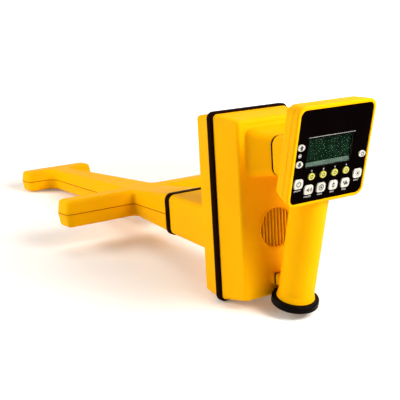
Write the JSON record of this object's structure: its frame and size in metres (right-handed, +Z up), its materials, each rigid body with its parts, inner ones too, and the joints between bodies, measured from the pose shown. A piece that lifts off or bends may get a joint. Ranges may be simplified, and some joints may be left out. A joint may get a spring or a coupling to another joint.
{
  "type": "utility locator",
  "caption": "Hand-held cable and pipe locator: box with a two-armed antenna wand, leaning grip with battery cap, speaker grille and display head with keys.",
  "frame": {"origin": "middle of the bounding box at floor level, as the receiver lies at rest", "axes": "+X across to the user's right, +Y along the wand and away from the user, +Z up"},
  "size_m": [0.2508, 0.6644, 0.2466],
  "materials": {
    "yellow_housing": "satin moulded plastic",
    "black_rubber": "matt rubber",
    "black_cap": "matt moulded plastic",
    "white_key": "satin",
    "yellow_key": "satin",
    "key_rubber": "matt silicone",
    "panel_film": "fine-grained film",
    "clear_pane": "clear",
    "display_cell": "dark green-grey",
    "circuit_board": "solder mask",
    "board_parts": "moulded epoxy",
    "tinned_steel": "tinned",
    "screw_steel": "plated",
    "ferrite": "matt ceramic",
    "copper_winding": "enamelled wire",
    "speaker_paper": "coated paper",
    "foam": "closed-cell foam",
    "nickel": "nickel plate",
    "lead_jacket": "matt jacket",
    "carrier_plastic": "matt",
    "cell_jacket": "plain jacket",
    "brass_contact": "plain brass"
  },
  "bodies": {
    "receiver": {"accessory_jack": "nickel", "antenna_lead": "lead_jacket", "battery_carrier": "carrier_plastic", "battery_cells": "cell_jacket", "battery_lead": "lead_jacket", "battery_terminal": "circuit_board", "board_components": "board_parts", "board_screws": "screw_steel", "box_gasket": "black_rubber", "box_screws": "screw_steel", "display_board": "circuit_board", "display_lead": "lead_jacket", "earphone_jack": "nickel", "front_shell": "yellow_housing", "handle_housing": "yellow_housing", "handle_screws": "screw_steel", "head_bezel": "yellow_housing", "head_gasket": "black_rubber", "head_screws": "screw_steel", "jack_nuts": "nickel", "key_mat": "key_rubber", "lcd_module": "display_cell", "lcd_window": "clear_pane", "main_board": "circuit_board", "mid_coil": "copper_winding", "mid_ferrite_rod": "ferrite", "neck_gasket": "black_rubber", "panel_overlay": "panel_film", "rear_shell": "yellow_housing", "shield_can": "tinned_steel", "socket_screws": "screw_steel", "speaker_basket": "tinned_steel", "speaker_cone": "speaker_paper", "speaker_gasket": "foam", "speaker_magnet": "ferrite", "strut_pad": "black_rubber", "tip_coil": "copper_winding", "tip_ferrite_rod": "ferrite", "wand_bottom_shell": "yellow_housing", "wand_gasket": "black_rubber", "wand_screws": "screw_steel", "wand_top_shell": "yellow_housing"},
    "power_key_body": {"power_key": "white_key"},
    "light_key_body": {"light_key": "white_key"},
    "up_key_body": {"up_key": "white_key"},
    "down_key_body": {"down_key": "white_key"},
    "select_key_body": {"select_key": "white_key"},
    "volume_key_body": {"volume_key": "white_key"},
    "soft_key_1_body": {"soft_key_1": "yellow_key"},
    "mode_key_body": {"mode_key": "white_key"},
    "soft_key_2_body": {"soft_key_2": "yellow_key"},
    "gain_key_body": {"gain_key": "white_key"},
    "soft_key_3_body": {"soft_key_3": "yellow_key"},
    "frequency_key_body": {"frequency_key": "white_key"},
    "soft_key_4_body": {"soft_key_4": "yellow_key"},
    "contact": {"cap_plate": "brass_contact"},
    "cap": {"battery_cap": "black_cap", "cap_seal": "black_rubber"}
  },
  "joints": [
    {"name": "power_key_press", "type": "slide", "parent": "receiver", "child": "power_key_body", "axis": [0, 0.9912, 0.1327], "range_m": [0, 0.001], "stiffness_N_per_m": 1500},
    {"name": "light_key_press", "type": "slide", "parent": "receiver", "child": "light_key_body", "axis": [0, 0.9912, 0.1327], "range_m": [0, 0.001], "stiffness_N_per_m": 1500},
    {"name": "up_key_press", "type": "slide", "parent": "receiver", "child": "up_key_body", "axis": [0, 0.9912, 0.1327], "range_m": [0, 0.001], "stiffness_N_per_m": 1500},
    {"name": "down_key_press", "type": "slide", "parent": "receiver", "child": "down_key_body", "axis": [0, 0.9912, 0.1327], "range_m": [0, 0.001], "stiffness_N_per_m": 1500},
    {"name": "select_key_press", "type": "slide", "parent": "receiver", "child": "select_key_body", "axis": [0, 0.9912, 0.1327], "range_m": [0, 0.001], "stiffness_N_per_m": 1500},
    {"name": "volume_key_press", "type": "slide", "parent": "receiver", "child": "volume_key_body", "axis": [0, 0.9912, 0.1327], "range_m": [0, 0.001], "stiffness_N_per_m": 1500},
    {"name": "soft_key_1_press", "type": "slide", "parent": "receiver", "child": "soft_key_1_body", "axis": [0, 0.9912, 0.1327], "range_m": [0, 0.001], "stiffness_N_per_m": 1500},
    {"name": "mode_key_press", "type": "slide", "parent": "receiver", "child": "mode_key_body", "axis": [0, 0.9912, 0.1327], "range_m": [0, 0.001], "stiffness_N_per_m": 1500},
    {"name": "soft_key_2_press", "type": "slide", "parent": "receiver", "child": "soft_key_2_body", "axis": [0, 0.9912, 0.1327], "range_m": [0, 0.001], "stiffness_N_per_m": 1500},
    {"name": "gain_key_press", "type": "slide", "parent": "receiver", "child": "gain_key_body", "axis": [0, 0.9912, 0.1327], "range_m": [0, 0.001], "stiffness_N_per_m": 1500},
    {"name": "soft_key_3_press", "type": "slide", "parent": "receiver", "child": "soft_key_3_body", "axis": [0, 0.9912, 0.1327], "range_m": [0, 0.001], "stiffness_N_per_m": 1500},
    {"name": "frequency_key_press", "type": "slide", "parent": "receiver", "child": "frequency_key_body", "axis": [0, 0.9912, 0.1327], "range_m": [0, 0.001], "stiffness_N_per_m": 1500},
    {"name": "soft_key_4_press", "type": "slide", "parent": "receiver", "child": "soft_key_4_body", "axis": [0, 0.9912, 0.1327], "range_m": [0, 0.001], "stiffness_N_per_m": 1500},
    {"name": "cap_travel", "type": "slide", "parent": "receiver", "child": "contact", "axis": [0, 0.1327, -0.9912], "range_m": [0, 0.00625]},
    {"name": "cap_turn", "type": "hinge", "parent": "contact", "child": "cap", "pos_m": [0, -0.27846, 0.01974], "axis": [0, 0.1327, -0.9912], "range_deg": [0, 901]}
  ],
  "couplings": [
    {"joint": "cap_turn", "follows": "cap_travel", "rad_per_m": 2513.3}
  ]
}
